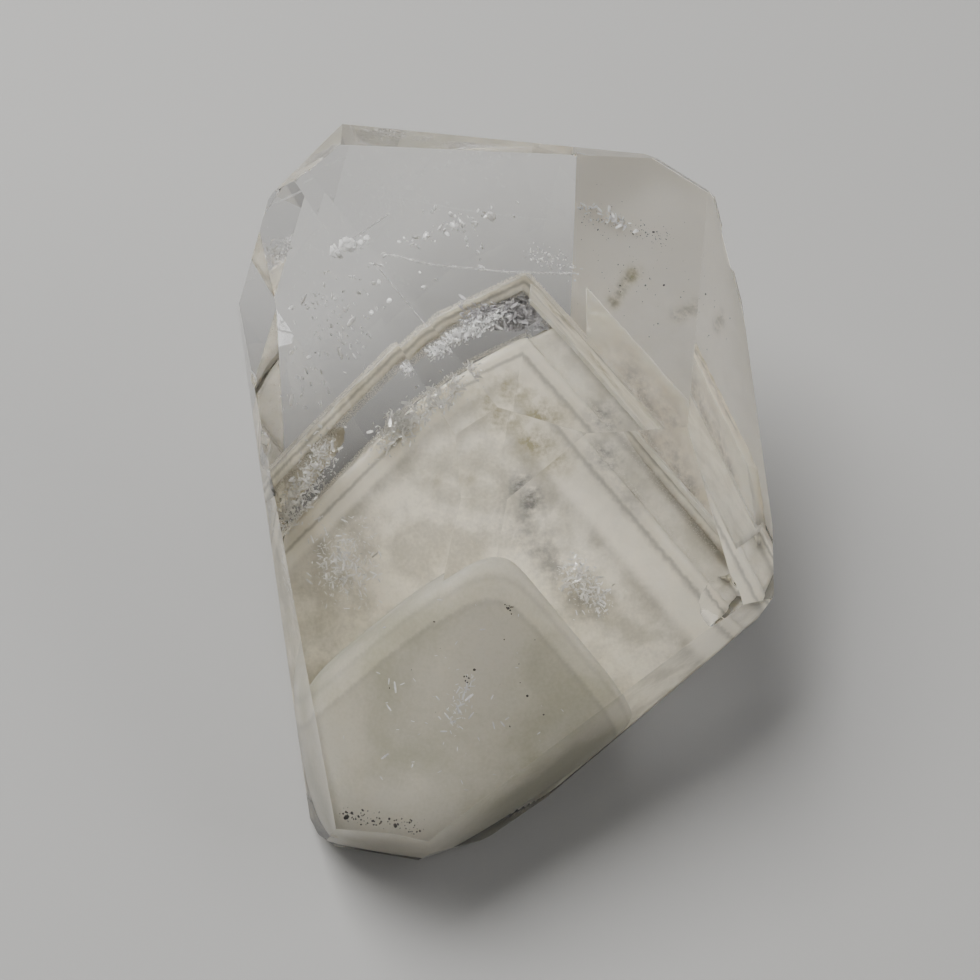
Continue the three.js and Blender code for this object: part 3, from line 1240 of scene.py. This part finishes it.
def icosahedron():
    """Twelve corners (0, +-1, +-g) and their turns; corners nearer than EDGE_UNDER share an edge,
    and three that share edges make one of the twenty faces, turned to face outwards."""
    g = (1 + math.sqrt(5)) / 2
    base = np.array([[0, a, b * g] for a in (1, -1) for b in (1, -1)], float)
    corners = np.vstack([base, base[:, [2, 0, 1]], base[:, [1, 2, 0]]]) / math.hypot(1, g)
    near = np.linalg.norm(corners[:, None] - corners[None], axis=2) < EDGE_UNDER
    faces = np.array([(i, j, k) for i in range(12) for j in range(i) for k in range(j)
                      if near[i, j] and near[j, k] and near[i, k]])
    a, b, c = (corners[faces[:, i]] for i in range(3))
    inward = np.einsum("ij,ij->i", a, np.cross(b, c)) < 0
    faces[inward] = faces[inward][:, ::-1]
    return corners, faces


DROP, DROP_FACES = icosahedron()


def flakes(name, centres, size, material,
           normal=(0.1, 0.1, 1), wobble=0.35, flat=0.12, long=1.0, vary=0.45):
    """Squashed drops: size wide, long times as long and flat times as thick; sizes are spread
    lognormally by vary, and none is over LARGEST_FLAKE times the size."""
    centres = centres[depth_inside(centres) > FLECK_CLEAR]
    count = len(centres)
    sizes = np.minimum(fleck_rng.lognormal(math.log(size), vary, count), LARGEST_FLAKE * size)
    scale = np.column_stack([np.ones(count), long * fleck_rng.uniform(0.7, 1.3, count), np.full(count, flat)])
    turns = facing(count, normal, wobble)
    return speck_mesh(name, centres, sizes, turns, material, DROP, DROP_FACES, scale[:, None, :])


print("a drop has", len(DROP), "corners and", len(DROP_FACES), "faces")

# %% [markdown]
# ## Finishes of drops and films
# A drop of brine or a film of air mirrors light, because it bends light less than the quartz
# around it. Clear drops inside clear quartz take long to render without noise, so each is a
# small opaque body instead, about as bright as what it would mirror, with a gloss of its own.
# The dark specks are grains of another mineral, and rough.

# %% Finishes of drops and films
def film_material(name, colour, roughness, metallic=0.0):
    """A thin film or drop: one bright colour with a gloss, clouded towards 0.8 of itself."""
    deep = tuple(0.8 * c for c in colour[:3]) + (1,)
    material = dust_material(name, colour, deep, patch=0.6, grain_size=0.15)
    shader = material.node_tree.nodes["Principled BSDF"]
    shader.inputs["Roughness"].default_value = roughness
    shader.inputs["Metallic"].default_value = metallic
    return material


silver_film = film_material("silver_film", (0.88, 0.86, 0.81, 1), 0.35, 0.25)
white_drop = film_material("white_drop", (0.93, 0.92, 0.90, 1), 0.3)
# violet films: partly painted shade, a grey that darkens the clear gap between the phantoms
violet_film_and_shade = film_material("violet_film_and_shade", (0.60, 0.58, 0.58, 1), 0.4)
dark_speck = film_material("dark_speck", (0.10, 0.09, 0.08, 1), 0.6)
print("finishes:", len(bpy.data.materials), "in all")

# %% [markdown]
# ## Drops in the clear head
# The head is the clearest part, so its few drops count. They lie in trails, because brine was
# trapped along the lines where the crystal had cracked and healed while it grew.

# %% Drops in the clear head
HEAD_TRAIL = ((-9.5, 20.0, 2.0), (-5.0, 21.5, 2.0), (-0.5, 23.5, 2.5))
CROSS_TRAIL = ((-7.0, 23.0, 2.0), (-1.0, 18.5, 2.0))
HEAD_CLOUD = (-12.0, 17.5, 3.0)
TIP_TRAIL = ((1.5, 19.5, 0.0), (5.5, 18.0, 0.0))
BIG_FLECK = (-13.0, 20.5, 6.0)
LEFT_TRAILS = (((-16.0, 17.5, 4.0), (-11.5, 12.5, 4.0)), ((-16.5, 11.5, 3.0), (-11.0, 12.0, 3.0)),
               ((-17.5, 8.0, 3.0), (-15.0, 9.5, 3.0)))

head_drops = np.vstack([
    along_line(HEAD_TRAIL[0], HEAD_TRAIL[1], 18, 0.45),
    along_line(HEAD_TRAIL[1], HEAD_TRAIL[2], 34, 0.7),
    along_line(*CROSS_TRAIL, 16, 0.8),
    in_cloud(HEAD_CLOUD, (5, 4, 3), 26),
])
flakes("head_drops", head_drops, 0.26, white_drop, wobble=0.8, flat=0.5, long=1.5)
tip_drops = along_line(*TIP_TRAIL, 110, 0.6)
flakes("tip_drops", tip_drops, 0.13, white_drop, wobble=0.8, flat=0.6)
big_fleck = in_cloud(BIG_FLECK, (0.8, 0.4, 0.2), 60)
flakes("big_fleck", big_fleck, 0.4, white_drop, flat=0.3)
left_drops = np.vstack([
    along_line(*LEFT_TRAILS[0], 56, 1.2),
    along_line(*LEFT_TRAILS[1], 30, 1.0),
    along_line(*LEFT_TRAILS[2], 20, 1.0),
])
flakes("left_drops", left_drops, 0.22, white_drop, normal=(1, 0.2, 0.6), wobble=0.3, flat=0.35, long=2.2)

# %% [markdown]
# ## Hair cracks
# A healed crack shows as a hair-fine white line. It could be a thin tube, but that looks like
# a wire. It is made of drops so small and so close together that they run into one, because
# a real one is a row of trapped drops too.

# %% Hair cracks
LONG_CRACK = ((-11.5, 19.0, -1.0), (-7.0, 18.0, -1.0), (-0.5, 17.5, -1.0), (5.5, 17.5, -1.0))
SHORT_CRACK = ((-14.0, 20.0, 9.0), (-10.0, 23.0, 9.0))
BENT_CRACK = ((-11.0, 19.0, 12.0), (-9.0, 16.5, 12.0), (-6.5, 13.5, 12.0))
SPECKS_PER_MM = 150


def along_crack(corners, spread):
    """Points along a bent line, the same number for each of its millimetres."""
    runs = []
    for start, end in zip(corners[:-1], corners[1:]):
        count = round(SPECKS_PER_MM * math.dist(start, end))
        runs.append(along_line(start, end, count, spread))
    return np.vstack(runs)


hair_lines = np.vstack([
    along_crack(LONG_CRACK, 0.04),
    along_crack(SHORT_CRACK, 0.02),
    along_crack(BENT_CRACK, 0.02),
])
flakes("hair_lines", hair_lines, 0.05, white_drop, wobble=0.8, flat=0.5)

# %% [markdown]
# ## Silvery and violet films between the phantoms
# Where layers parted a little, air-thin films mirror the light in feathery patches. Each patch
# is many small films that face nearly the same way, so that they flash together. The violet
# films are partly real and partly painted shade: their grey darkens the clear gap between the
# phantoms, where only shaded ground would show through the stone.

# %% Silvery films
FEATHER = (0.35, -0.5, 0.8)
SHARD_LINE = ((-9.0, 4.0, -2.0), (-3.5, 8.5, -2.0))
SHARD_CLOUD = (-6.5, 6.5, -2.0)
LEFT_EDGE = ((-18.0, -2.5, 0.0), (-13.5, 4.5, 0.0))

silver_shards = np.vstack([
    along_line(*SHARD_LINE, 700, 0.6),
    in_cloud(SHARD_CLOUD, (1.4, 1.0, 0.8), 500),
])
flakes("silver_shards", silver_shards, 0.10, silver_film,
       normal=FEATHER, wobble=0.5, flat=0.1, long=2.6, vary=0.7)
silver_edge = along_line(*LEFT_EDGE, 1400, 0.7)
flakes("silver_edge", silver_edge, 0.085, silver_film,
       normal=(-0.5, 0.2, 1), wobble=0.6, flat=0.12, long=2.2, vary=0.7)

# %% White and violet films
WHITE_LINE = ((-6.0, 11.0, -3.0), (-1.0, 13.5, -3.0))
VIOLET_CLOUD = (-1.0, 13.5, -4.0)

white_shards = along_line(*WHITE_LINE, 900, 0.35)
flakes("white_shards", white_shards, 0.085, white_drop,
       normal=(0.2, 0.4, 1), wobble=0.7, flat=0.2, long=3.0, vary=0.6)
# the violet films' grey is partly painted shade in the clear gap between the phantoms
violet_shards_and_shade = in_cloud(VIOLET_CLOUD, (3.4, 1.3, 1.0), 2400)
flakes("violet_shards_and_shade", violet_shards_and_shade, 0.12, violet_film_and_shade,
       normal=(0.1, 0.3, 1), wobble=0.5, flat=0.12, long=3.0, vary=0.55)

# %% [markdown]
# ## Crackle and sparkle near the core
# Left of the core's tip a patch of tiny cracks glitters, and right of it a short trail
# sparkles. Each crack could be a line of its own, but a crack is only a film seen edge on, so
# the patch is made of films that are stretched four times and vary most in size.

# %% Crackle and sparkle near the core
CRACKLE_CLOUD = (-12.5, -6.0, 1.0)
SPARKLE_LINE = ((4.5, -5.5, -1.5), (7.5, -9.0, -1.5))

crackle = in_cloud(CRACKLE_CLOUD, (3.0, 3.6, 1.0), 700)
flakes("crackle", crackle, 0.06, silver_film,
       normal=(0.2, 0.2, 1), wobble=0.6, flat=0.2, long=4.0, vary=0.8)
core_sparkle = along_line(*SPARKLE_LINE, 700, 0.7)
flakes("core_sparkle", core_sparkle, 0.08, silver_film,
       normal=(0.2, 0.2, 1), wobble=0.7, flat=0.2, long=2.4, vary=0.7)

# %% [markdown]
# ## Specks on the pale sheet
# The pale back sheet carries a row of dark specks and a shorter row of white ticks. They are
# placed on the flat and then set half a millimetre over the back, so that they lie on the sheet.

# %% Specks on the frost
PALE_SHEET_LINE = ((6.0, 22.5, 0.0), (14.0, 21.0, 0.0))
TICK_LINE = ((6.0, 23.5, 0.0), (10.5, 22.0, 0.0))
PALE_SHEET_CLOUD = (10.0, 18.0, 0.0)
OVER_PALE_SHEET = 0.5

pale_sheet_specks = np.vstack([
    along_line(*PALE_SHEET_LINE, 140, 0.5),
    in_cloud(PALE_SHEET_CLOUD, (7, 7, 0.1), 110),
])
flakes("pale_sheet_specks", over_back(pale_sheet_specks[:, :2], OVER_PALE_SHEET), 0.07, dark_speck, wobble=0.8, flat=0.6)
pale_sheet_ticks = along_line(*TICK_LINE, 60, 0.35)
flakes("pale_sheet_ticks", over_back(pale_sheet_ticks[:, :2], OVER_PALE_SHEET), 0.16, white_drop,
       normal=(0.3, 0.3, 1), wobble=0.5, flat=0.3, long=2.6)

# %% [markdown]
# ## Specks and wisps just under the front
# A few dark specks and pale wisps lie nearly at the surface, over the core and at the foot.
# Their depth follows the front faces, so they are placed on the flat and hung under them.

# %% Dark specks
MIDDLE_SPOT = ((0.0, -9.5, 0.0), (0.5, -10.0, 0.0))
CORE_SPOT = ((-3.0, -16.5, 0.0), (-3.5, -15.5, 0.0))
CORE_CLOUD = (-2.0, -16.0, 0.0)
FOOT_LINE = ((-14.0, -27.5, 0.0), (-7.0, -28.5, 0.0))
UNDER_SKIN = 0.45

dark_specks = np.vstack([
    along_line(*MIDDLE_SPOT, 12, 0.12),
    along_line(*CORE_SPOT, 7, 0.12),
    in_cloud(CORE_CLOUD, (7, 7, 0.5), 16),
    along_line(*FOOT_LINE, 90, 0.3),
])
flakes("dark_specks", under_front(dark_specks[:, :2], UNDER_SKIN), 0.14, dark_speck, wobble=0.8, flat=0.6)

# %% Pale wisps
WISP_LINE = ((-4.5, -20.0, 0.0), (-3.0, -15.5, 0.0))
WISP_CLOUD = (-4.0, -19.0, 0.0)

core_wisps = np.vstack([
    along_line(*WISP_LINE, 70, 0.35),
    in_cloud(WISP_CLOUD, (9, 9, 0.5), 60),
])
flakes("core_wisps", under_front(core_wisps[:, :2], UNDER_SKIN), 0.09, white_drop,
       normal=(0, 0, 1), wobble=0.3, flat=0.3, long=4.0)
